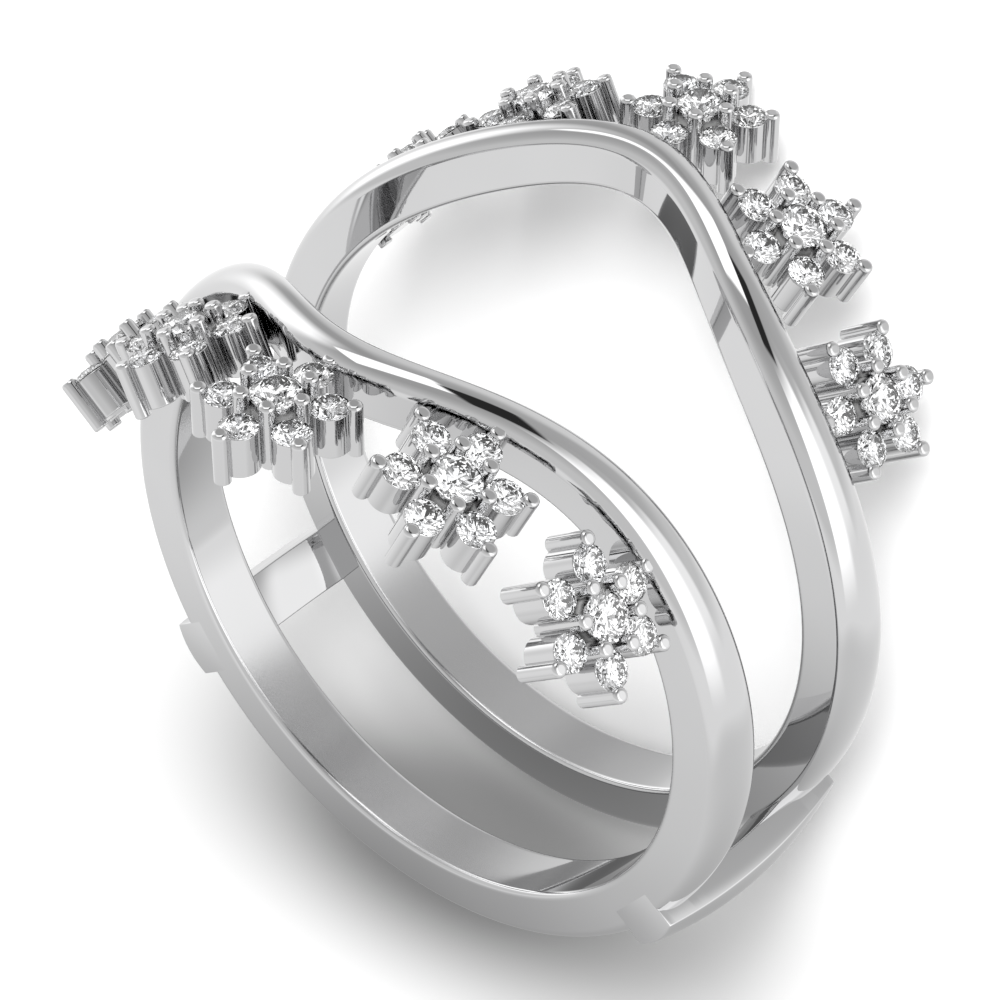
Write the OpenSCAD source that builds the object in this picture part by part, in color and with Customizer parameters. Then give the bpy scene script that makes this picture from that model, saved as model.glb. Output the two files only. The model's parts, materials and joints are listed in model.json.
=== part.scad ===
// Ring guard: two bands that swell apart at the top, two bars that join them below,
// and ten flower clusters of round stones along their outer sides.
// It lies on its side as it would by itself. Millimetres, +Z up, the floor at z = 0.

/* [Bands] */
// Inner radius of the finger hole
finger_r = 8.65; // [7.5:0.05:10.5]
// Height of the flat sides above the finger hole
side_h = 1.175; // [0.9:0.005:1.4]
// Rise of the rounded outer face above the sides
dome_h = 0.44; // [0.2:0.01:0.6]
// Half width of a band at the bottom
half_width_bottom = 0.92; // [0.7:0.01:1.1]
// Half width of a band at the top
half_width_top = 0.59; // [0.5:0.01:0.9]
// Rounding of the inner edges
inner_round = 0.17; // [0.1:0.01:0.25]
// Distance from the middle plane to a band's centre at the bottom
offset_bottom = 2.615; // [2.2:0.005:3]
// How much further out a band's centre lies at the top
swell = 3.05; // [2.5:0.01:3.2]
// Angle over which the swell fades
swell_deg = 28.4; // [26:0.1:30]

/* [Joining bars] */
// Angle of each bar from the top
bar_deg = 126.5; // [120:0.1:135]
// Width of a bar along the band
bar_w = 1.62; // [1.4:0.01:2.1]
// Distance from the ring's axis to a bar's inner face at mid length
bar_inner = 9.99; // [9.9:0.01:10.05]
// Distance from the ring's axis to a bar's crown at its ends
bar_end_r = 10.64; // [10.5:0.01:10.8]
// Distance from the ring's axis to a bar's crown at mid length
bar_mid_r = 11.14; // [10.9:0.01:11.4]
// How far a bar's outer edges lie below its crown at its ends
bar_end_drop = 0.17; // [0.1:0.01:0.3]
// How far a bar's outer edges lie below its crown at mid length
bar_mid_drop = 0.32; // [0.2:0.01:0.4]

/* [Clusters] */
// Radius of a petal stone
petal_r = 0.5; // [0.45:0.01:0.52]
// Radius of the centre stone
centre_r = 0.65; // [0.6:0.005:0.66]
// Height of the petal stones' tables above the ring's axis
petal_table = 10.02; // [9.95:0.01:10.05]
// Height of the centre stone's table above the ring's axis
centre_table = 10.34; // [10.25:0.01:10.4]
// Distance from a cluster's axis to its petals
petal_ring = 1.286; // [1.28:0.002:1.3]
// Distance from a cluster's axis to the inner posts
inner_post_ring = 0.85; // [0.84:0.005:0.87]
// Distance from a cluster's axis to the outer posts
outer_post_ring = 1.895; // [1.88:0.005:1.92]
// Radius of a post
post_r = 0.215; // [0.2:0.005:0.23]
// Bevel round a post's flat tip
post_bevel = 0.07; // [0.04:0.005:0.1]
// Height of the inner posts' tips above the ring's axis
inner_tip = 10.41; // [10.36:0.01:10.45]
// Height of the outer posts' tips above the ring's axis
outer_tip = 10.06; // [10.02:0.01:10.1]
// Height of the posts' lower ends above the ring's axis
post_bottom = 8.56; // [8.5:0.01:8.65]
// Height of the cups' lower ends above the ring's axis
cup_bottom = 8.68; // [8.6:0.01:8.8]
// How much a cup's radius exceeds its stone's
cup_rim = 0.01; // [0.005:0.005:0.02]
// How far a cup's rim lies below its stone's girdle
rim_drop = 0.05; // [0.04:0.01:0.1]
// Gap between a stone and its metal seat
stone_gap = 0.02; // [0.015:0.005:0.03]

/* [Resting place] */
// Tilt of the ring's axis as it lies on one cluster and one band
rest_tilt = 19.77; // [15:0.01:25]
// Height of the ring's centre above the floor
rest_height = 6.65; // [6:0.01:7.5]
// Shift along X that centres the ring over the origin
rest_shift = -1.12; // [-2:0.01:0]

/* [Hidden] */
$fn = 48;
band_steps = 80;
dome_steps = 8;
round_steps = 3;
bar_steps = 12;
bar_crown_steps = 6;
// The bands reach this far into the finger hole before it is cut
inner_reach = 0.3;
// Length of the cut for the finger hole
finger_cut = 20;
// Over the swelled top, beyond this height above the ring's axis, the hole's wall is relieved
relief_from = 6.64;
relief = 0.02;
// The bars' ends stand this far out of the bands' sides, and reach this far in there
bar_proud = 0.025;
bar_foot_r = 9.4;
// Where inside a band's width the bar's inner face steps down to its foot
bar_foot_from = offset_bottom - 0.3;
// Heights of a round brilliant and width of its table, as shares of its width
crown_share = 0.15;
girdle_share = 0.03;
pavilion_share = 0.43;
table_share = 0.57;

// Clusters from the top: angle, distance from the middle plane, and turn of the petals
cluster_deg = [0, 26.4, 53.4];
cluster_offset = [8.03, 6.67, 5.45];
cluster_turn = [0, 10.2, 10.2];
// Each cluster: which of those places, side of the top, side of the middle plane
CLUSTERS = [
    for (side = [1, -1])
        for (place = [[2, -1], [1, -1], [0, 1], [1, 1], [2, 1]])
            [place[0], place[1], side]
];

// Band centre's distance from the middle plane, and half width, at an angle from the top
function cosh(x) = (exp(x) + exp(-x)) / 2;
function from_top(a) = a > 180 ? a - 360 : a;
function centre_at(a) = offset_bottom + swell / pow(cosh(from_top(a) / swell_deg), 2);
function top_share(a) = pow((1 + cos(a)) / 2, 3);
function half_at(a) = half_width_bottom + (half_width_top - half_width_bottom) * top_share(a);

// Half of a band's section as [distance from the ring's axis, offset from the band's centre]
function half_section(h) = concat(
    [[finger_r - inner_reach, h - inner_round]],
    [for (i = [1 : round_steps])
        let (a = 90 * (i - 0.25) / (round_steps - 0.25))
        [finger_r + inner_round * (1 - cos(a)), h - inner_round + inner_round * sin(a)]],
    [for (i = [0 : dome_steps / 2])
        let (a = 90 * i / (dome_steps / 2))
        [finger_r + side_h + dome_h * sin(a), h * cos(a)]]
);
function mirrored(s) = [for (i = [len(s) - 2 : -1 : 0]) [s[i][0], -s[i][1]]];
function section(h) = concat(half_section(h), mirrored(half_section(h)));

// A closed tube of sections, one ring of points after another
function ring_faces(rings, n) = [
    for (i = [0 : rings - 1])
        for (j = [0 : n - 1])
            let (k = (i + 1) % rings, l = (j + 1) % n)
            each [[i * n + j, k * n + j, i * n + l], [i * n + l, k * n + j, k * n + l]]
];

module band(side) {
    n = len(section(1));
    points = [
        for (i = [0 : band_steps - 1])
            let (a = 360 * (i + 0.5) / band_steps)
            for (p = section(half_at(a)))
                [p[0] * cos(a), p[0] * sin(a), centre_at(a) + p[1]]
    ];
    mirror([0, 0, side < 0 ? 1 : 0]) polyhedron(points, ring_faces(band_steps, n));
}

// A bar's section: flat inner face and sides, rounded crown, and an arch along its length
function bar_fall(z) = pow(z / (offset_bottom + half_width_bottom), 2);
function bar_arch(z) = (bar_mid_r - bar_end_r) * bar_fall(z);
function bar_drop(z) = bar_mid_drop + (bar_end_drop - bar_mid_drop) * bar_fall(z);
function bar_inner_at(z) = abs(z) < bar_foot_from ? bar_inner - bar_arch(z) : bar_foot_r;
function bar_section(z) = concat(
    [[bar_inner_at(z), -bar_w / 2]],
    [for (i = [0 : bar_crown_steps])
        let (t = -1 + 2 * i / bar_crown_steps)
        [bar_mid_r - bar_arch(z) - bar_drop(z) * t * t, t * bar_w / 2]],
    [[bar_inner_at(z), bar_w / 2]]
);

module bar() {
    half = offset_bottom + half_width_bottom + bar_proud;
    n = len(bar_section(0));
    points = [
        for (i = [0 : bar_steps])
            let (z = -half + 2 * half * i / bar_steps)
            for (p = bar_section(z)) [p[0], p[1], z]
    ];
    sides = [
        for (i = [0 : bar_steps - 1])
            for (j = [0 : n - 1])
                let (k = i + 1, l = (j + 1) % n)
                each [[i * n + j, k * n + j, i * n + l], [i * n + l, k * n + j, k * n + l]]
    ];
    first = [for (j = [0 : n - 1]) j];
    last = [for (j = [n - 1 : -1 : 0]) bar_steps * n + j];
    polyhedron(points, concat(sides, [first, last]));
}

// Round brilliant, its table at the given height, grown by a gap all round
module brilliant(r, table_z, gap) {
    girdle_top = table_z - 2 * r * crown_share;
    girdle_low = girdle_top - 2 * r * girdle_share;
    culet = girdle_low - 2 * r * pavilion_share;
    rotate_extrude()
        polygon([
            [0, culet - gap],
            [r + gap, girdle_low - gap / 2],
            [r + gap, girdle_top + gap / 2],
            [r * table_share + gap, table_z + gap],
            [0, table_z + gap]
        ]);
}

// Cup under a stone, from its flat closed back to a rim just below the stone's girdle
module cup(r, table_z) {
    rim = table_z - 2 * r * (crown_share + girdle_share) - rim_drop;
    translate([0, 0, cup_bottom]) cylinder(r = r + cup_rim, h = rim - cup_bottom);
}

// What is taken out of cups and posts for a stone
module seat(r, table_z) {
    brilliant(r, table_z, stone_gap);
}

// Round post with a flat tip and a bevelled edge
module post(tip_z) {
    rotate_extrude()
        polygon([
            [0, post_bottom],
            [post_r, post_bottom],
            [post_r, tip_z - post_bevel],
            [post_r - post_bevel, tip_z],
            [0, tip_z]
        ]);
}

// Places its children at each petal's angle, at a distance from the cluster's axis
module around(distance, turn, side) {
    for (i = [0 : 5]) {
        a = turn + 60 * i;
        translate([-side * distance * cos(a), distance * sin(a), 0]) children();
    }
}

module cluster_place(c) {
    rotate([0, 0, c[1] * cluster_deg[c[0]]])
        translate([0, 0, c[2] * cluster_offset[c[0]]])
            rotate([0, 90, 0]) children();
}

function turn_of(c) = c[1] * cluster_turn[c[0]];

module setting(c) {
    cluster_place(c)
        difference() {
            union() {
                cup(centre_r, centre_table);
                around(petal_ring, turn_of(c), c[2]) cup(petal_r, petal_table);
                around(inner_post_ring, turn_of(c) + 30, c[2]) post(inner_tip);
                around(outer_post_ring, turn_of(c), c[2]) post(outer_tip);
            }
            seat(centre_r, centre_table);
            around(petal_ring, turn_of(c), c[2]) seat(petal_r, petal_table);
        }
}

// The ring as it lies on the floor
module at_rest() {
    translate([rest_shift, 0, rest_height]) rotate([0, -rest_tilt, 0]) children();
}

// The top clusters' inmost petal stones reach into the band beside them
module band_seats() {
    for (c = CLUSTERS)
        if (c[0] == 0)
            cluster_place(c)
                translate([c[2] * petal_ring, 0, 0]) brilliant(petal_r, petal_table, stone_gap);
}

module finger_hole() {
    cylinder(r = finger_r, h = finger_cut, center = true, $fn = 96);
    intersection() {
        cylinder(r = finger_r + relief, h = finger_cut, center = true, $fn = 96);
        translate([relief_from, -finger_r, -finger_cut / 2])
            cube([finger_r, 2 * finger_r, finger_cut]);
    }
}

module metalwork() {
    color("gainsboro") at_rest() difference() {
        union() {
            difference() {
                union() {
                    band(1);
                    band(-1);
                }
                finger_hole();
            }
            for (s = [-1, 1]) rotate([0, 0, s * bar_deg]) bar();
            for (c = CLUSTERS) setting(c);
        }
        band_seats();
    }
}

module centre_stone(c) {
    color("azure") at_rest() cluster_place(c) brilliant(centre_r, centre_table, 0);
}

module petal_stones(c) {
    color("azure") at_rest() cluster_place(c)
        around(petal_ring, turn_of(c), c[2]) brilliant(petal_r, petal_table, 0);
}

metalwork();
for (i = [0 : len(CLUSTERS) - 1]) {
    centre_stone(CLUSTERS[i]);
    petal_stones(CLUSTERS[i]);
}
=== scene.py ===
import json
import math

import bmesh
import bpy
from mathutils import Matrix, Vector


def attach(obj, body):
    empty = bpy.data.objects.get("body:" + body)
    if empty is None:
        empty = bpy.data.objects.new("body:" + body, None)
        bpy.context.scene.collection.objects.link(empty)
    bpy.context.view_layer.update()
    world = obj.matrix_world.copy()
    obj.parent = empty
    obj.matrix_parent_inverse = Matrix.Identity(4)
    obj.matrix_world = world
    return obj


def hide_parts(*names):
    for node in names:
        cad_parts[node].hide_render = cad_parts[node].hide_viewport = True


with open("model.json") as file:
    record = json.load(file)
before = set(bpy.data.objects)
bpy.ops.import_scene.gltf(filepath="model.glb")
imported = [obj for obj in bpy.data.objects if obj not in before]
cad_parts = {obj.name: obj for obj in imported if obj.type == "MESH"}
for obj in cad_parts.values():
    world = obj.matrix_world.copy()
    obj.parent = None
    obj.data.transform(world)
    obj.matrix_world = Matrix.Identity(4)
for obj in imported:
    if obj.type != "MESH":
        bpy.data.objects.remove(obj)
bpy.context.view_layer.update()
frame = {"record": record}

scene = bpy.context.scene

# Sizes are in millimetres and angles in degrees. In the ring's own frame its axis is Z and its top is +X
MM = 0.001
RING_UP = Vector((1, 0, 0))
# Points nearer to each other than this are one point
SAME_POINT = 1e-6

# The finger hole, which also tells how the ring lies on the floor
FINGER_HOLE = frame["record"]["mounts"][0]
FINGER_R = FINGER_HOLE["dims"]["r_mm"]
LEAN = Vector((0, 0, 1)).rotation_difference(Vector(FINGER_HOLE["axis"])).to_matrix()
AT_REST = Matrix.Translation(FINGER_HOLE["pos_m"]) @ LEAN.to_4x4() @ Matrix.Scale(MM, 4)

# Bands: their section
SIDE_H = 1.175
DOME_H = 0.44
INNER_ROUND = 0.17
HALF_WIDTH_BOTTOM = 0.92
HALF_WIDTH_TOP = 0.59
# Bands: how far they lie from the middle plane, how they swell apart at the top and narrow towards it
OFFSET_BOTTOM = 2.615
SWELL = 3.05
SWELL_ANGLE = 28.4
NARROWING = 3.0
# Bands: fineness, how near to a round edge the rows lie that keep the flat side flat, and how far out on
# the side one more row lies, as a share of its height
BAND_STEPS = 360
DOME_STEPS = 24
FILLET_STEPS = 5
BAND_HOLD = 0.03
BAND_MIDDLE_ROW = 0.6

# Joining bars: angle from the top, width, and distances from the ring's axis
BAR_ANGLE = 126.5
BAR_W = 1.62
BAR_INNER = 9.99
BAR_FOOT_R = 9.4
BAR_END_R = 10.64
BAR_MID_R = 11.14
# Joining bars: how much lower their long edges are than their crown, at the ends and in the middle
BAR_END_DROP = 0.17
BAR_MID_DROP = 0.32
# Joining bars: half their length between the bands' outer sides, how far they stand past those, and how
# far in from each band's middle their feet begin
BAR_HALF = OFFSET_BOTTOM + HALF_WIDTH_BOTTOM
BAR_PROUD = 0.001
BAR_FOOT_IN = 0.3
# Joining bars: small round edges and fineness
BAR_ROUND = 0.035
BAR_ROUND_STEPS = 3
BAR_EDGE_ANGLE = 30
BAR_CREASE_ANGLE = 40
BAR_STEPS = 28
BAR_CROWN_STEPS = 8

# A cluster's parts: radii, distances from the cluster's middle, and heights over the ring's axis
PETALS = 6
PETAL_R = 0.5
PETAL_RING = 1.286
PETAL_TABLE = 10.02
CENTRE_R = 0.65
CENTRE_TABLE = 10.34
CUP_BOTTOM = 8.68
CUP_RIM = 0.01
CUP_ROUND = 0.018
CUP_FOOT_ROUND = 0.025
POST_R = 0.215
POST_ROUND = 0.11
POST_FOOT_ROUND = 0.035
POST_BOTTOM = 8.56
INNER_POST_RING = 0.85
INNER_TIP = 10.41
OUTER_POST_RING = 1.895
OUTER_TIP = 10.06
# Inside a cup: how far in from the stone's girdle and down from the rim the lip and the seat lie
LIP_IN = 0.012
LIP_DOWN = 0.01
SEAT_IN = 0.025
SEAT_DOWN = 0.05
# A cluster's fineness, and how near to a round edge the rows lie that keep a straight wall straight
CUP_STEPS = 28
POST_STEPS = 16
POST_ROUND_STEPS = 5
CLUSTER_HOLD = 0.01
CLUSTER_CREASE_ANGLE = 50
# How far in the middle of a small round edge lies, as a share of its radius
ROUND_MIDDLE = 0.3

# A round brilliant: number of main facets, heights and table as shares of its width, and how far the stars
# reach out to the girdle and the lower halves in to the culet
MAINS = 8
CROWN = 0.15
GIRDLE = 0.03
PAVILION = 0.43
TABLE = 0.57
STAR_REACH = 0.52
LOWER_REACH = 0.78

# Places of clusters: angle from the top, distance from the middle plane, turn of the petals
TOP_PLACE = {"angle": 0, "offset": 8.03, "turn": 0}
NEXT_PLACE = {"angle": 26.4, "offset": 6.67, "turn": 10.2}
OUTER_PLACE = {"angle": 53.4, "offset": 5.45, "turn": 10.2}
# Each cluster's place, side of the top and side of the middle plane
CLUSTERS = [
    (place, of_top, side)
    for side in (1, -1)
    for place, of_top in (
        (OUTER_PLACE, -1),
        (NEXT_PLACE, -1),
        (TOP_PLACE, 1),
        (NEXT_PLACE, 1),
        (OUTER_PLACE, 1),
    )
]

# Metal: its tone, how much darker it is in places, and its faint unevenness, with scales counted per metre
METAL_TONE = 0.6
METAL_COOLER = 0.004
METAL_COLOUR = (METAL_TONE, METAL_TONE, METAL_TONE + METAL_COOLER)
METAL_DARKER = 0.965
METAL_DARKER_UP_TO = 0.3
METAL_LIGHTER_FROM = 0.7
METAL_BROAD_SCALE = 260.0
METAL_FINE_SCALE = 4200.0
METAL_FINE_SHARE = 0.6
METAL_WAVE = 0.002
BAND_ROUGHNESS = 0.035
BAND_UNEVEN = 0.02
SETTING_ROUGHNESS = 0.05
SETTING_UNEVEN = 0.03
# The middle of a noise texture's values
NOISE_MIDDLE = 0.5

# Wear of the finger hole's wall: where it begins and is full, along the ring's up axis and along Y
WORN_ROUGHER = 0.17
WORN_FROM = -3.5
WORN_FULL = -6.5
WORN_SIDE_FROM = -4.2
WORN_SIDE_FULL = -1.8
# How far outside the finger hole's radius wear begins to fade and ends
WALL_NEAR = 0.01
WALL_FAR = 0.05

# The space deep between a cluster's cups, where the metal is rougher and painted paler and half matte as
# painted light: how far out, up and down it reaches, with its soft ends
GAP_REACH = 0.92
GAP_REACH_SOFT = 0.15
GAP_TOP = 10.0
GAP_BOTTOM = 9.0
GAP_SOFT = 0.2
# Painted light: light caught there fades less than light between far apart pieces, so the metal there is
# painted a little paler and half matte, and is rougher
GAP_PAINTED_TONE = 0.62
GAP_ROUGHER = 0.5
GAP_PAINTED_METALLIC = 0.5

# Stones: refraction, and the scale and ends of their faint tint
STONE_IOR = 2.42
STONE_TINT_SCALE = 900.0
STONE_TINTS = [(0.35, (0.97, 0.98, 1.0, 1)), (0.65, (1.0, 1.0, 1.0, 1))]

# Floor: size and finish
FLOOR_REACH = 3000
FLOOR_TONE = 0.9
FLOOR_GLOSS = 0.3
FLOOR_ROUGHNESS = 0.3
FLOOR_CLOUDS = 0.08
FLOOR_CLOUD_SCALE = 14.0
# Floor: the oval of painted shade beneath the ring's lower side, and how deep it may get
FLOOR_SHADE_X = -14.1
FLOOR_SHADE_Y = 2.9
FLOOR_SHADE_WIDE = 4.05
FLOOR_SHADE_LONG = 9.1
FLOOR_SHADE_TURN = 13.6
FLOOR_SHADE_MOST = 0.78
FLOOR_SHADE_SOFT = 0.2

# Camera at the photo's angle to the ring: its direction and distance, and its shift up and to the right
CAMERA_AZIMUTH = -37.87
CAMERA_ELEVATION = 35.35
CAMERA_DISTANCE = 98.225
CAMERA_RAISED = 1.281
CAMERA_ASIDE = 0.03
CAMERA_LENS = 132.93
CAMERA_SENSOR = 36
CAMERA_NEAREST = 5
CAMERA_FURTHEST = 20000

# The room's light by elevation, as it stands to an upright ring. Levels are what polished metal shows
ROOM_LEVELS = [
    (-90, 0.4),
    (-60, 0.48),
    (-32, 0.67),
    (-12, 0.68),
    (2, 0.52),
    (25, 0.52),
    (45, 0.4),
    (62, 0.32),
]
# Patches on the room's walls. Azimuth 0 is ahead of the camera and 90 to its right, and elevation counts
# towards the ring's top. A span is from, to, and how far the edge is soft on either side of from and of to
WALL_PATCHES = [
    {"level": 0.29, "cover": 0.85, "azimuth": (-14, 2, 5, 5), "elevation": (2, 62, 8, 3)},
    {"level": 0.35, "cover": 0.7, "azimuth": (52, 90, 8, 5), "elevation": (18, 62, 10, 3)},
    {"level": 0.64, "cover": 0.7, "azimuth": (12, 50, 10, 8), "elevation": (0, 38, 8, 12)},
    {"level": 0.83, "cover": 1.0, "azimuth": (90, 112, 4, 4), "elevation": (-6, 30, 8, 8)},
    {"level": 1.2, "cover": 1.0, "azimuth": (110, 150, 5, 2), "elevation": (-10, 48, 12, 12)},
    {"level": 1.15, "cover": 1.0, "azimuth": (-62, -24, 14, 12), "elevation": (-6, 48, 12, 18)},
]
# A wide light and a dark opening in the ceiling, a plane over the ring, as shares of its height
CEILING_PATCHES = [
    {"level": 1.2, "aside": (-0.53, 0.22, 0.03, 0.03), "ahead": (-0.12, 0.45, 0.04, 0.05)},
    {"level": 0.02, "aside": (0.2, 0.56, 0.03, 0.04), "ahead": (-0.42, 0.24, 0.05, 0.04)},
]
# The share of up in a direction from which the ceiling begins and is full
CEILING_FROM = 0.3
CEILING_FULL = 0.35
# Stands in for the share of up where a direction has none, so that nothing is divided by zero
LEAST_UP = 0.01

# What the cut stones see of the room, and the small lamps in it that only they show
SPARK_ROOM = 0.62
SPARK_LEVEL = 0.8
SPARK_SCALE = 9.0
SPARK_EDGE = 0.5
SPARK_SOFT = 0.04

# What lights the floor: an even fill, and one lamp beyond the ring's top
FLOOR_FILL = 0.92
LAMP_PLACE = (75, -30, 85)
LAMP_SIZE = 60
LAMP_POWER = 0.15

# The dim card beneath the ring's bottom: its size, its level and how that grows along Y
CARD_REACH = 45.0
CARD_SIDES = 48
CARD_DROP = 10.3
CARD_LEVEL = 0.605
CARD_LEAN = 0.0043
# The card's oval of shade, and where beyond it the card begins to turn clear and is clear
CARD_SHADE_LONG = 13.4
CARD_SHADE_WIDE = 7.2
CARD_SHADE_DEPTH = 0.75
CARD_SHADE_ASIDE = 1.2
CARD_CLEAR_FROM = 4.0
CARD_CLEAR_FULL = 9.0


class Wire:
    """A socket in a node tree. Operators on it add Math nodes, and node() adds any other node"""

    def __init__(self, tree, socket=None):
        self.tree = tree
        self.socket = socket

    @staticmethod
    def find(sockets, key):
        """The socket with this number, identifier or name"""
        if isinstance(key, int):
            return sockets[key]
        for s in sockets:
            if s.identifier == key:
                return s
        return sockets[key]

    def node(self, kind, settings=None, sockets=None, out=0):
        """Adds a node: its settings, the values or wires of its sockets, and the output to go on from"""
        made = self.tree.nodes.new(kind)
        for key, value in (settings or {}).items():
            if key == "stops":
                elements = made.color_ramp.elements
                while len(elements) < len(value):
                    elements.new(0.5)
                for element, (place, colour) in zip(elements, value):
                    element.position = place
                    element.color = colour
            else:
                setattr(made, key, value)
        for key, value in (sockets or {}).items():
            socket = self.find(made.inputs, key)
            if isinstance(value, Wire):
                self.tree.links.new(value.socket, socket)
            else:
                socket.default_value = value
        return Wire(self.tree, self.find(made.outputs, out) if made.outputs else None)

    def pick(self, key):
        """Another output of the same node"""
        return Wire(self.tree, self.find(self.socket.node.outputs, key))

    def math(self, operation, *values):
        return self.node("ShaderNodeMath", {"operation": operation}, dict(enumerate(values)))

    def __add__(self, other):
        return self.math("ADD", self, other)

    def __radd__(self, other):
        return self.math("ADD", other, self)

    def __sub__(self, other):
        return self.math("SUBTRACT", self, other)

    def __rsub__(self, other):
        return self.math("SUBTRACT", other, self)

    def __mul__(self, other):
        return self.math("MULTIPLY", self, other)

    def __rmul__(self, other):
        return self.math("MULTIPLY", other, self)

    def __truediv__(self, other):
        return self.math("DIVIDE", self, other)

    def __rtruediv__(self, other):
        return self.math("DIVIDE", other, self)

    def __pow__(self, other):
        return self.math("POWER", self, other)

    def __neg__(self):
        return self.math("MULTIPLY", self, -1.0)


# Node help
def coordinates(where):
    place = where.node("ShaderNodeSeparateXYZ", {}, {"Vector": where})
    return place.pick("X"), place.pick("Y"), place.pick("Z")


def dot(where, direction):
    return where.node("ShaderNodeVectorMath", {"operation": "DOT_PRODUCT"}, {0: where, 1: direction}, "Value")


def distance(x, y):
    return (x * x + y * y) ** 0.5


def noise(where, scale, detail):
    return where.node("ShaderNodeTexNoise", {}, {"Vector": where, "Scale": scale, "Detail": detail})


def ramp(factor, stops):
    return factor.node("ShaderNodeValToRGB", {"stops": stops}, {"Fac": factor})


def soft_step(x, low, high):
    sockets = {"Value": x, "From Min": low, "From Max": high}
    return x.node("ShaderNodeMapRange", {"interpolation_type": "SMOOTHSTEP"}, sockets)


def between(x, low, high, low_soft, high_soft):
    rise = soft_step(x, low - low_soft, low + low_soft)
    return rise * (1.0 - soft_step(x, high - high_soft, high + high_soft))


def laid_over(under, level, mask):
    return under + (level - under) * mask


def ring_coordinate(where, axis):
    """A place's coordinate along X, Y or Z of the ring's own frame, in millimetres"""
    row = AT_REST.inverted()["XYZ".index(axis)]
    return dot(where, row[:3]) + row[3]


# Materials
def new_material(name):
    material = bpy.data.materials.new(name)
    material.use_nodes = True
    material.node_tree.nodes.clear()
    return material, Wire(material.node_tree)


def close_material(shader):
    shader.node("ShaderNodeOutputMaterial", {}, {"Surface": shader})


def worn(where):
    """How much a place belongs to the lower part of the finger hole's wall, which wear has dulled"""
    x = ring_coordinate(where, "X")
    y = ring_coordinate(where, "Y")
    wall = 1.0 - soft_step(distance(x, y), FINGER_R + WALL_NEAR, FINGER_R + WALL_FAR)
    low = 1.0 - soft_step(x, WORN_FULL, WORN_FROM)
    return wall * low * soft_step(y, WORN_SIDE_FROM, WORN_SIDE_FULL)


def gap_between_cups(start):
    """How much a place lies deep between a cluster's cups"""
    x, y, z = coordinates(start.node("ShaderNodeAttribute", {"attribute_name": "in_cluster"}, out="Vector"))
    near = 1.0 - soft_step(distance(x, y), GAP_REACH, GAP_REACH + GAP_REACH_SOFT)
    over = soft_step(z, GAP_BOTTOM - GAP_SOFT, GAP_BOTTOM)
    under = 1.0 - soft_step(z, GAP_TOP - GAP_SOFT, GAP_TOP)
    return near * over * under


def polished_metal(name, roughness, uneven, worn_wall=False, painted_light_in_gaps=False):
    """Rhodium plated white metal: its tone, roughness and surface vary a little from place to place"""
    material, start = new_material(name)
    where = start.node("ShaderNodeTexCoord", out="Object")
    broad = noise(where, METAL_BROAD_SCALE, 2.0)
    fine = noise(where, METAL_FINE_SCALE, 3.0)
    darker = [c * METAL_DARKER for c in METAL_COLOUR]
    tones = [(METAL_DARKER_UP_TO, (*darker, 1)), (METAL_LIGHTER_FROM, (*METAL_COLOUR, 1))]
    tone = ramp(broad, tones)
    rough = roughness + (broad - NOISE_MIDDLE) * uneven + (fine - NOISE_MIDDLE) * (uneven * METAL_FINE_SHARE)
    metallic = 1.0
    if painted_light_in_gaps:
        # Painted light deep between the cups: paler, half matte metal stands in for light caught there
        gap = gap_between_cups(start)
        sockets = {"Factor_Float": gap, "A_Color": tone, "B_Color": (GAP_PAINTED_TONE, GAP_PAINTED_TONE, GAP_PAINTED_TONE, 1)}
        tone = start.node("ShaderNodeMix", {"data_type": "RGBA"}, sockets, "Result_Color")
        rough = rough + gap * GAP_ROUGHER
        metallic = 1.0 - gap * (1.0 - GAP_PAINTED_METALLIC)
    if worn_wall:
        rough = rough + worn(where) * WORN_ROUGHER
    wave = start.node("ShaderNodeBump", {}, {"Strength": 1.0, "Distance": MM, "Height": broad * METAL_WAVE})
    sockets = {"Base Color": tone, "Metallic": metallic, "Roughness": rough, "Normal": wave}
    close_material(start.node("ShaderNodeBsdfPrincipled", {}, sockets))
    return material


def cut_stone(name):
    """Colourless stone: clear body and sharp polished facets"""
    material, start = new_material(name)
    where = start.node("ShaderNodeTexCoord", out="Object")
    tint = ramp(noise(where, STONE_TINT_SCALE, 2.0), STONE_TINTS)
    sockets = {"Base Color": tint, "Roughness": 0.0, "IOR": STONE_IOR, "Transmission Weight": 1.0}
    close_material(start.node("ShaderNodeBsdfPrincipled", {}, sockets))
    return material


def studio_floor(name):
    """Pale floor, with a soft painted shade beneath the ring's lower side"""
    material, start = new_material(name)
    where = start.node("ShaderNodeTexCoord", out="Object")
    x, y, _ = coordinates(where)
    x = x * (1 / MM) - FLOOR_SHADE_X
    y = y * (1 / MM) - FLOOR_SHADE_Y
    turn = math.radians(FLOOR_SHADE_TURN)
    across = (x * math.cos(turn) + y * math.sin(turn)) / FLOOR_SHADE_WIDE
    along = (y * math.cos(turn) - x * math.sin(turn)) / FLOOR_SHADE_LONG
    # Painted shade: the floor's colour is darker in this oval, standing in for the ring's shadow
    shade = start.math("EXPONENT", -(across * across + along * along))
    shade = start.math("SMOOTH_MIN", shade, FLOOR_SHADE_MOST, FLOOR_SHADE_SOFT)
    sockets = {
        "Base Color": FLOOR_TONE * (1.0 - shade),
        "Roughness": FLOOR_ROUGHNESS + noise(where, FLOOR_CLOUD_SCALE, 2.0) * FLOOR_CLOUDS,
        "Specular IOR Level": FLOOR_GLOSS,
    }
    close_material(start.node("ShaderNodeBsdfPrincipled", {}, sockets))
    return material


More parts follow.
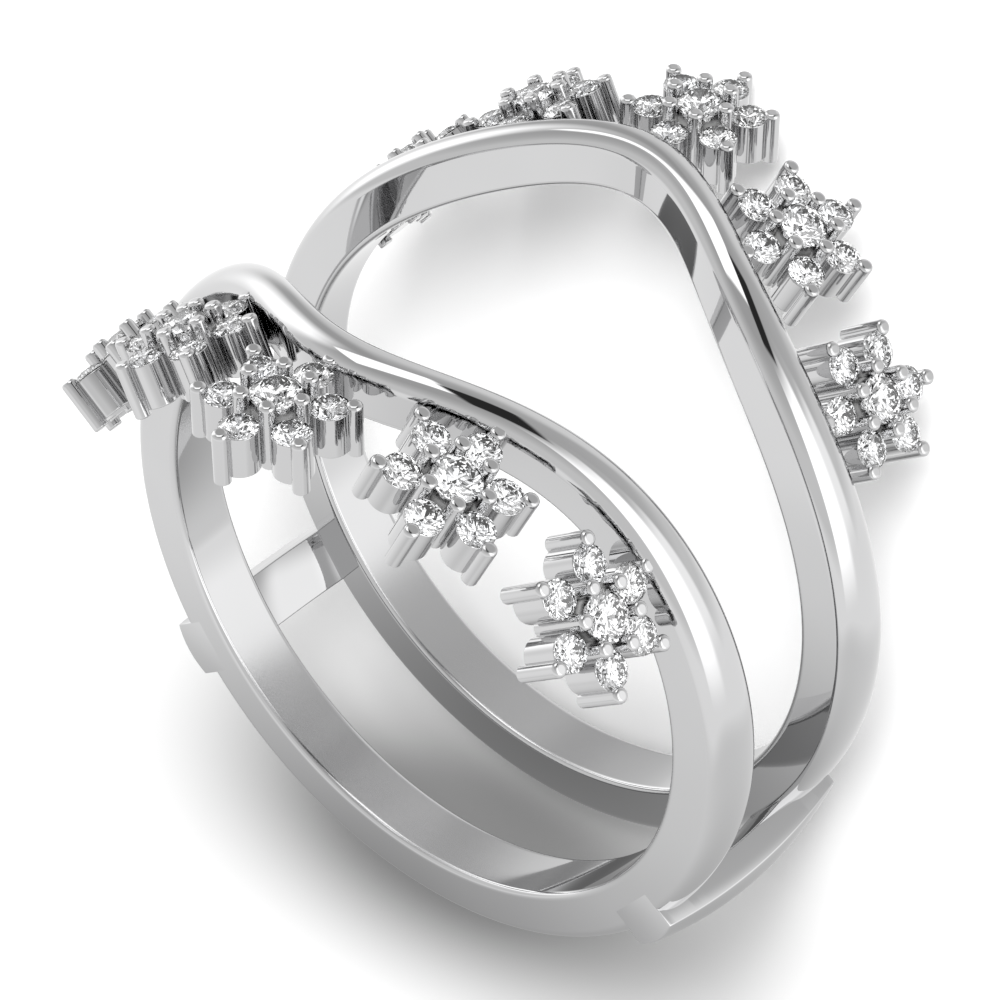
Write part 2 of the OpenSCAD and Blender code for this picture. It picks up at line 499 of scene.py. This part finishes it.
def shaded_ground(name):
    """The card's glow, with an oval of shade in its middle. Far from that the card turns clear"""
    material, start = new_material(name)
    where = start.node("ShaderNodeTexCoord", out="Object")
    y = ring_coordinate(where, "Y")
    z = ring_coordinate(where, "Z")
    outwards = ((y - CARD_SHADE_ASIDE) / CARD_SHADE_LONG) ** 2.0 + (z / CARD_SHADE_WIDE) ** 2.0
    shade = start.math("EXPONENT", -outwards) * CARD_SHADE_DEPTH
    level = (1.0 + y * CARD_LEAN) * CARD_LEVEL * (1.0 - shade)
    glow = start.node("ShaderNodeEmission", {}, {"Color": level, "Strength": 1 / METAL_TONE})
    clear = start.node("ShaderNodeBsdfTransparent")
    beyond = soft_step(outwards, CARD_CLEAR_FROM, CARD_CLEAR_FULL)
    close_material(start.node("ShaderNodeMixShader", {}, {0: beyond, 1: glow, 2: clear}))
    return material


BAND_METAL = polished_metal("polished_band_metal", BAND_ROUGHNESS, BAND_UNEVEN, worn_wall=True)
SETTING_METAL = polished_metal("polished_setting_metal", SETTING_ROUGHNESS, SETTING_UNEVEN, painted_light_in_gaps=True)
STONE = cut_stone("cut_clear_stone")


# Mesh help
def mesh_of(name, points, faces):
    mesh = bpy.data.meshes.new(name)
    mesh.from_pydata([tuple(p) for p in points], [], faces)
    mesh.validate()
    return mesh


def outward(mesh):
    """Merges doubles and turns every face outwards"""
    bm = bmesh.new()
    bm.from_mesh(mesh)
    bmesh.ops.remove_doubles(bm, verts=bm.verts, dist=SAME_POINT)
    bmesh.ops.recalc_face_normals(bm, faces=bm.faces)
    bm.to_mesh(mesh)
    bm.free()
    return mesh


def joined(name, meshes):
    bm = bmesh.new()
    for mesh in meshes:
        bm.from_mesh(mesh)
    whole = bpy.data.meshes.new(name)
    bm.to_mesh(whole)
    bm.free()
    return whole


def placed(name, data):
    made = bpy.data.objects.new(name, data)
    scene.collection.objects.link(made)
    return made


def piece(name, mesh, material, slot, *nodes):
    """A finished piece of the ring that stands for these CAD nodes"""
    mesh.name = name
    mesh.materials.clear()
    mesh.materials.append(material)
    made = placed(name, mesh)
    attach(made, "root")
    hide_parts(*nodes)


def lathe(name, profile, steps):
    """Turns a profile of (radius, height), which begins and ends on the axis, about Z"""
    points = []
    rows = []
    for radius, height in profile:
        if radius == 0:
            rows.append([len(points)] * steps)
            points.append((0, 0, height))
            continue
        rows.append(list(range(len(points), len(points) + steps)))
        for i in range(steps):
            a = 2 * math.pi * i / steps
            points.append((radius * math.cos(a), radius * math.sin(a), height))
    faces = []
    for low, high in zip(rows, rows[1:]):
        for j in range(steps):
            k = (j + 1) % steps
            corners = [low[j], low[k], high[k], high[j]]
            faces.append(list(dict.fromkeys(corners)))
    return outward(mesh_of(name, points, faces))


# Geometry Nodes help
def new_tree(name, inputs):
    tree = bpy.data.node_groups.new(name, "GeometryNodeTree")
    tree.interface.new_socket("Geometry", in_out="OUTPUT", socket_type="NodeSocketGeometry")
    tree.interface.new_socket("Geometry", in_out="INPUT", socket_type="NodeSocketGeometry")
    for label, kind in inputs:
        tree.interface.new_socket(label, in_out="INPUT", socket_type="NodeSocket" + kind)
    return tree, Wire(tree).node("NodeGroupInput")


def close_tree(geometry, material):
    """Ends a tree: real copies in this material"""
    real = geometry.node("GeometryNodeRealizeInstances", {}, {"Geometry": geometry})
    done = real.node("GeometryNodeSetMaterial", {}, {"Geometry": real, "Material": material})
    done.node("NodeGroupOutput", {}, {"Geometry": done})


def grown(tree, host_mesh, values):
    """The plain mesh that a tree makes from a host mesh and these values of its named inputs"""
    host = placed("host", host_mesh)
    modifier = host.modifiers.new("grow", "NODES")
    modifier.node_group = tree
    for item in tree.interface.items_tree:
        if item.in_out == "INPUT" and item.name in values:
            modifier[item.identifier] = values[item.name]
    graph = bpy.context.evaluated_depsgraph_get()
    mesh = bpy.data.meshes.new_from_object(host.evaluated_get(graph), depsgraph=graph)
    host.modifiers.remove(modifier)
    bpy.data.objects.remove(host)
    return mesh


# The two bands
def band_section():
    """The section as (distance from the ring's axis, share of the half width, inset from it)"""
    edge = FINGER_R + INNER_ROUND
    shoulder = FINGER_R + SIDE_H
    half = [(FINGER_R, 0.0, 0.0), (FINGER_R, 1.0, INNER_ROUND + BAND_HOLD)]
    for i in range(FILLET_STEPS + 1):
        a = math.pi / 2 * i / FILLET_STEPS
        half.append((edge - INNER_ROUND * math.cos(a), 1.0, INNER_ROUND * (1 - math.sin(a))))
    half.append((edge + BAND_HOLD, 1.0, 0.0))
    half.append((FINGER_R + SIDE_H * BAND_MIDDLE_ROW, 1.0, 0.0))
    half.append((shoulder - BAND_HOLD, 1.0, 0.0))
    for i in range(DOME_STEPS // 2 + 1):
        a = math.pi * i / DOME_STEPS
        half.append((shoulder + DOME_H * math.sin(a), math.cos(a), 0.0))
    other = [(r, -share, -inset) for r, share, inset in half[-2:0:-1]]
    return half + other


def section_mesh(section):
    """A loop of edges whose points carry the section's three values"""
    mesh = bpy.data.meshes.new("section")
    n = len(section)
    mesh.from_pydata([(i, 0, 0) for i in range(n)], [(i, (i + 1) % n) for i in range(n)], [])
    for column, label in enumerate(("reach", "share", "inset")):
        layer = mesh.attributes.new(label, "FLOAT", "POINT")
        layer.data.foreach_set("value", [p[column] for p in section])
    return mesh


def band_tree():
    """Sweeps a section round the finger hole and swells it apart from the other band at the top"""
    inputs = [
        ("Steps", "Int"),
        ("Offset at bottom", "Float"),
        ("Swell", "Float"),
        ("Swell angle", "Float"),
        ("Half width at bottom", "Float"),
        ("Half width at top", "Float"),
        ("Narrowing", "Float"),
        ("Side", "Float"),
        ("Material", "Material"),
    ]
    tree, start = new_tree("swelling_band", inputs)

    def held(label):
        kind = "GeometryNodeInputNamedAttribute"
        return start.node(kind, {"data_type": "FLOAT"}, {"Name": label}, "Attribute")

    circle = {"Resolution": start.pick("Steps"), "Radius": 1.0}
    path = start.node("GeometryNodeCurvePrimitiveCircle", {}, circle)
    profile = start.node("GeometryNodeMeshToCurve", {}, {"Mesh": start.pick("Geometry")})
    small = start.node("GeometryNodeTransform", {}, {"Geometry": profile, "Scale": (MM, MM, MM)})
    tube = start.node("GeometryNodeCurveToMesh", {}, {"Curve": path, "Profile Curve": small})
    x, y, _ = coordinates(start.node("GeometryNodeInputPosition"))
    angle = start.math("ARCTAN2", y, x)
    centre = start.pick("Swell") / start.math("COSH", angle / start.pick("Swell angle")) ** 2.0
    centre = centre + start.pick("Offset at bottom")
    top = ((start.math("COSINE", angle) + 1.0) / 2.0) ** start.pick("Narrowing")
    half = start.pick("Half width at bottom") * (1.0 - top) + start.pick("Half width at top") * top
    offset = centre + half * held("share") - held("inset")
    corner = {
        "X": held("reach") * start.math("COSINE", angle),
        "Y": held("reach") * start.math("SINE", angle),
        "Z": offset * start.pick("Side"),
    }
    where = start.node("ShaderNodeCombineXYZ", {}, corner)
    shaped = start.node("GeometryNodeSetPosition", {}, {"Geometry": tube, "Position": where})
    close_tree(shaped, start.pick("Material"))
    return tree


def make_bands():
    tree = band_tree()
    for name, side in (("band_front", 1.0), ("band_rear", -1.0)):
        values = {
            "Steps": BAND_STEPS,
            "Offset at bottom": OFFSET_BOTTOM,
            "Swell": SWELL,
            "Swell angle": math.radians(SWELL_ANGLE),
            "Half width at bottom": HALF_WIDTH_BOTTOM,
            "Half width at top": HALF_WIDTH_TOP,
            "Narrowing": NARROWING,
            "Side": side,
            "Material": BAND_METAL,
        }
        mesh = outward(grown(tree, section_mesh(band_section()), values))
        mesh.shade_smooth()
        mesh.transform(AT_REST)
        piece(name, mesh, BAND_METAL, "white_metal", "metalwork")


# The two joining bars
def bar_section(z):
    """A bar's section at a distance from the middle plane: arched along its length and crowned across"""
    fall = (z / BAR_HALF) ** 2
    arch = (BAR_MID_R - BAR_END_R) * fall
    drop = BAR_MID_DROP + (BAR_END_DROP - BAR_MID_DROP) * fall
    in_the_gap = abs(z) < OFFSET_BOTTOM - BAR_FOOT_IN
    inner = BAR_INNER - arch if in_the_gap else BAR_FOOT_R
    points = [(inner, -BAR_W / 2, z)]
    for i in range(BAR_CROWN_STEPS + 1):
        t = 2 * i / BAR_CROWN_STEPS - 1
        points.append((BAR_MID_R - arch - drop * t * t, t * BAR_W / 2, z))
    points.append((inner, BAR_W / 2, z))
    return points


def bar_mesh():
    reach = BAR_HALF + BAR_PROUD
    points = []
    for i in range(BAR_STEPS + 1):
        points += bar_section(-reach + 2 * reach * i / BAR_STEPS)
    n = len(bar_section(0))
    faces = [
        (i * n + j, i * n + (j + 1) % n, (i + 1) * n + (j + 1) % n, (i + 1) * n + j)
        for i in range(BAR_STEPS)
        for j in range(n)
    ]
    faces.append(list(range(n)))
    faces.append([BAR_STEPS * n + j for j in range(n)])
    mesh = outward(mesh_of("bar", points, faces))
    bm = bmesh.new()
    bm.from_mesh(mesh)
    sharp = [e for e in bm.edges if e.calc_face_angle(0) > math.radians(BAR_EDGE_ANGLE)]
    bmesh.ops.bevel(bm, geom=sharp, offset=BAR_ROUND, segments=BAR_ROUND_STEPS, profile=0.5, affect="EDGES")
    bm.to_mesh(mesh)
    bm.free()
    return mesh


def make_bars():
    for name, side in (("joining_bar_right", 1), ("joining_bar_left", -1)):
        mesh = bar_mesh()
        mesh.shade_smooth()
        mesh.set_sharp_from_angle(angle=math.radians(BAR_CREASE_ANGLE))
        mesh.transform(AT_REST @ Matrix.Rotation(side * math.radians(BAR_ANGLE), 4, "Z"))
        piece(name, mesh, BAND_METAL, "white_metal", "metalwork")


# Settings and stones
def round_tree():
    """Sets copies of a shape at equal steps round a cluster's centre"""
    inputs = [
        ("Count", "Int"),
        ("Ring", "Float"),
        ("Turn", "Float"),
        ("Side", "Float"),
        ("Material", "Material"),
    ]
    tree, start = new_tree("round_the_centre", inputs)
    index = start.node("GeometryNodeInputIndex")
    angle = start.pick("Turn") + index * (2 * math.pi) / start.pick("Count")
    corner = {
        "X": -(start.pick("Side") * start.pick("Ring") * start.math("COSINE", angle)),
        "Y": start.pick("Ring") * start.math("SINE", angle),
    }
    where = start.node("ShaderNodeCombineXYZ", {}, corner)
    points = start.node("GeometryNodePoints", {}, {"Count": start.pick("Count"), "Position": where})
    turned = start.node("ShaderNodeCombineXYZ", {}, {"Z": -(start.pick("Side") * angle)})
    sockets = {"Points": points, "Instance": start.pick("Geometry"), "Rotation": turned}
    copies = start.node("GeometryNodeInstanceOnPoints", {}, sockets)
    close_tree(copies, start.pick("Material"))
    return tree


def cup_mesh(r, table):
    """Cup with a flat back, whose rim meets the lower edge of its stone's girdle"""
    outer = r + CUP_RIM
    foot = CUP_FOOT_ROUND
    rim = table - 2 * r * (CROWN + GIRDLE)
    middle = CUP_ROUND * ROUND_MIDDLE
    profile = [
        (0, CUP_BOTTOM),
        (outer - foot - CLUSTER_HOLD, CUP_BOTTOM),
        (outer - foot, CUP_BOTTOM),
        (outer, CUP_BOTTOM + foot),
        (outer, CUP_BOTTOM + foot + CLUSTER_HOLD),
        (outer, rim - CUP_ROUND - CLUSTER_HOLD),
        (outer, rim - CUP_ROUND),
        (outer - middle, rim - middle),
        (outer - CUP_ROUND, rim),
        (r - LIP_IN, rim - LIP_DOWN),
        (r - SEAT_IN, rim - SEAT_DOWN),
        (0, rim - 2 * PAVILION * r - SEAT_DOWN),
    ]
    return lathe("cup", profile, CUP_STEPS)


def post_mesh(tip):
    """Round post with a flat tip, rounded at both ends"""
    flat = POST_R - POST_ROUND
    foot = POST_FOOT_ROUND
    profile = [
        (0, POST_BOTTOM),
        (POST_R - foot - CLUSTER_HOLD, POST_BOTTOM),
        (POST_R - foot, POST_BOTTOM),
        (POST_R, POST_BOTTOM + foot),
        (POST_R, POST_BOTTOM + foot + CLUSTER_HOLD),
        (POST_R, tip - POST_ROUND - CLUSTER_HOLD),
    ]
    for i in range(POST_ROUND_STEPS + 1):
        a = math.pi / 2 * i / POST_ROUND_STEPS
        profile.append((flat + POST_ROUND * math.cos(a), tip - POST_ROUND + POST_ROUND * math.sin(a)))
    profile.append((flat - CLUSTER_HOLD, tip))
    profile.append((0, tip))
    return lathe("post", profile, POST_STEPS)


def ring_of(radius, z, n, shift=0.0):
    """Points at equal steps on a circle"""
    angles = [2 * math.pi * (i + shift) / n for i in range(n)]
    return [(radius * math.cos(a), radius * math.sin(a), z) for a in angles]


def brilliant_mesh(r, table_z):
    """Round brilliant with its true facets: table, stars, kites, girdle, halves and mains"""
    table_r = r * TABLE
    upper_z = table_z - 2 * r * CROWN
    lower_z = upper_z - 2 * r * GIRDLE
    culet_z = lower_z - 2 * r * PAVILION
    crown_slope = (table_z - upper_z) / (r - table_r)
    pavilion_slope = (lower_z - culet_z) / r
    # A corner between two neighbouring main planes lies further out by this factor
    corner = 1 / math.cos(math.pi / MAINS)
    star_r = table_r + (r - table_r) * STAR_REACH
    star_z = table_z - (star_r / corner - table_r) * crown_slope
    half_r = r * (1 - LOWER_REACH)
    half_z = culet_z + half_r / corner * pavilion_slope

    points = ring_of(table_r, table_z, MAINS) + ring_of(star_r, star_z, MAINS, 0.5)
    points += ring_of(r, upper_z, 2 * MAINS) + ring_of(r, lower_z, 2 * MAINS)
    points += ring_of(half_r, half_z, MAINS, 0.5) + [(0, 0, culet_z)]
    table = list(range(MAINS))
    star = [MAINS + i for i in range(MAINS)]
    upper = [2 * MAINS + i for i in range(2 * MAINS)]
    lower = [4 * MAINS + i for i in range(2 * MAINS)]
    half = [6 * MAINS + i for i in range(MAINS)]
    culet = 7 * MAINS

    faces = [table]
    for i in range(MAINS):
        j = (i + 1) % MAINS
        at, middle, after = 2 * i, 2 * i + 1, 2 * j
        faces.append([table[i], star[i], table[j]])
        faces.append([table[i], star[i - 1], upper[at], star[i]])
        faces.append([star[i], upper[at], upper[middle]])
        faces.append([star[i], upper[middle], upper[after]])
        faces.append([upper[at], lower[at], lower[middle], upper[middle]])
        faces.append([upper[middle], lower[middle], lower[after], upper[after]])
        faces.append([half[i], lower[middle], lower[at]])
        faces.append([half[i], lower[after], lower[middle]])
        faces.append([culet, half[i], lower[at], half[i - 1]])
    return outward(mesh_of("brilliant", points, faces))


def make_clusters():
    tree = round_tree()
    half_step = math.pi / PETALS
    metal_parts = [
        (cup_mesh(PETAL_R, PETAL_TABLE), PETALS, PETAL_RING, 0.0),
        (cup_mesh(CENTRE_R, CENTRE_TABLE), 1, 0.0, 0.0),
        (post_mesh(INNER_TIP), PETALS, INNER_POST_RING, half_step),
        (post_mesh(OUTER_TIP), PETALS, OUTER_POST_RING, 0.0),
    ]
    stone_parts = [
        ("petal_stones", brilliant_mesh(PETAL_R, PETAL_TABLE), PETALS, PETAL_RING),
        ("centre_stone", brilliant_mesh(CENTRE_R, CENTRE_TABLE), 1, 0.0),
    ]
    for number, (place, of_top, side) in enumerate(CLUSTERS, 1):
        turn = of_top * math.radians(place["turn"])
        in_ring = (
            AT_REST
            @ Matrix.Rotation(of_top * math.radians(place["angle"]), 4, "Z")
            @ Matrix.Translation((0, 0, side * place["offset"]))
            @ Matrix.Rotation(math.pi / 2, 4, "Y")
        )
        values = {"Side": float(side)}
        metal = []
        for shape, count, ring, extra in metal_parts:
            values.update({"Count": count, "Ring": ring, "Turn": turn + extra, "Material": SETTING_METAL})
            metal.append(grown(tree, shape, values))
        setting = joined(f"setting_{number}", metal)
        setting.shade_smooth()
        setting.set_sharp_from_angle(angle=math.radians(CLUSTER_CREASE_ANGLE))
        layer = setting.attributes.new("in_cluster", "FLOAT_VECTOR", "POINT")
        layer.data.foreach_set("vector", [c for vertex in setting.vertices for c in vertex.co])
        setting.transform(in_ring)
        piece(f"setting_{number}", setting, SETTING_METAL, "white_metal", "metalwork")
        for label, shape, count, ring in stone_parts:
            values.update({"Count": count, "Ring": ring, "Turn": turn, "Material": STONE})
            mesh = grown(tree, shape, values)
            mesh.shade_flat()
            mesh.transform(in_ring)
            name = f"{label}_{number}"
            piece(f"cut_{name}", mesh, STONE, "clear_stone", name)


# Floor, camera and light
def make_floor():
    reach = FLOOR_REACH * MM
    corners = [(-reach, -reach, 0), (reach, -reach, 0), (reach, reach, 0), (-reach, reach, 0)]
    floor = placed("floor", mesh_of("floor", corners, [(0, 1, 2, 3)]))
    floor.data.materials.append(studio_floor("pale_floor"))
    floor.visible_glossy = False


def view_axes():
    """The camera's right, up and back directions in the ring's own frame"""
    az = math.radians(CAMERA_AZIMUTH)
    el = math.radians(CAMERA_ELEVATION)
    back = Vector((math.cos(el) * math.cos(az), math.cos(el) * math.sin(az), math.sin(el)))
    right = RING_UP.cross(back).normalized()
    return right, back.cross(right), back


def make_camera():
    right, up, back = view_axes()
    where = back * CAMERA_DISTANCE + up * CAMERA_RAISED + right * CAMERA_ASIDE
    data = bpy.data.cameras.new("camera")
    data.lens = CAMERA_LENS
    data.sensor_width = CAMERA_SENSOR
    data.clip_start = CAMERA_NEAREST * MM
    data.clip_end = CAMERA_FURTHEST * MM
    camera = placed("camera", data)
    turn = Matrix((right, up, back)).transposed()
    camera.matrix_world = Matrix.Translation(AT_REST @ where) @ (LEAN @ turn).to_4x4()
    scene.camera = camera


def room_light(look):
    """The soft studio light that polished metal sees in each direction"""
    right = view_axes()[0]
    up = dot(look, LEAN @ RING_UP)
    aside = dot(look, LEAN @ right)
    ahead = dot(look, LEAN @ RING_UP.cross(right))
    elevation = look.math("ARCSINE", up) * math.degrees(1)
    azimuth = look.math("ARCTAN2", aside, ahead) * math.degrees(1)
    stops = [((el + 90) / 180, (level, level, level, 1)) for el, level in ROOM_LEVELS]
    light = ramp((elevation + 90.0) / 180.0, stops)
    for patch in WALL_PATCHES:
        mask = between(azimuth, *patch["azimuth"]) * between(elevation, *patch["elevation"]) * patch["cover"]
        light = laid_over(light, patch["level"], mask)
    above = look.math("MAXIMUM", up, LEAST_UP)
    overhead = soft_step(up, CEILING_FROM, CEILING_FULL)
    for patch in CEILING_PATCHES:
        mask = between(aside / above, *patch["aside"]) * between(ahead / above, *patch["ahead"]) * overhead
        light = laid_over(light, patch["level"], mask)
    return light


def make_studio():
    """What each kind of ray sees: the metal the room, the stones the room with small bright lamps that they
    break up into sparks, the floor an even fill, the camera plain white. All of it is brighter by as much
    as the metal's tone is darker than white"""
    world = bpy.data.worlds.new("studio")
    scene.world = world
    world.use_nodes = True
    world.node_tree.nodes.clear()
    start = Wire(world.node_tree)
    look = start.node("ShaderNodeTexCoord", out="Generated")
    light = room_light(look)
    lamps = soft_step(noise(look, SPARK_SCALE, 1.0), SPARK_EDGE, SPARK_EDGE + SPARK_SOFT)
    path = start.node("ShaderNodeLightPath")
    light = laid_over(light, light * SPARK_ROOM + lamps * SPARK_LEVEL, path.pick("Is Transmission Ray"))
    light = laid_over(light, FLOOR_FILL * METAL_TONE, path.pick("Is Diffuse Ray"))
    light = laid_over(light, METAL_TONE, path.pick("Is Camera Ray"))
    back = start.node("ShaderNodeBackground", {}, {"Color": light, "Strength": 1 / METAL_TONE})
    start.node("ShaderNodeOutputWorld", {}, {"Surface": back})
    world.cycles.sampling_method = "NONE"
    scene.view_settings.view_transform = "Standard"
    scene.view_settings.look = "None"


def make_shade_card():
    """A dim card beneath the ring's bottom, seen only in the metal and the stones: it gives them the
    shaded ground of an upright ring"""
    points = [(0, 0, 0)]
    for i in range(CARD_SIDES):
        a = 2 * math.pi * i / CARD_SIDES
        points.append((0, CARD_REACH * math.cos(a), CARD_REACH * math.sin(a)))
    faces = [(0, 1 + i, 1 + (i + 1) % CARD_SIDES) for i in range(CARD_SIDES)]
    mesh = mesh_of("shade_card", points, faces)
    mesh.transform(AT_REST @ Matrix.Translation(RING_UP * -CARD_DROP))
    mesh.materials.append(shaded_ground("shaded_ground"))
    card = placed("shade_card", mesh)
    card.visible_camera = False
    card.visible_diffuse = False
    card.visible_shadow = False
    card.visible_volume_scatter = False


def make_lamp():
    """Soft lamp beyond the ring's top, whose light fades over the floor towards the ring's bottom"""
    data = bpy.data.lights.new("lamp", "AREA")
    data.shape = "DISK"
    data.size = LAMP_SIZE * MM
    data.energy = LAMP_POWER
    lamp = placed("lamp", data)
    lamp.location = Vector(LAMP_PLACE) * MM
    lamp.rotation_euler = Vector(LAMP_PLACE).to_track_quat("Z", "Y").to_euler()
    lamp.visible_glossy = False
    lamp.visible_transmission = False


make_bands()
make_bars()
make_clusters()
make_floor()
make_camera()
make_studio()
make_shade_card()
make_lamp()
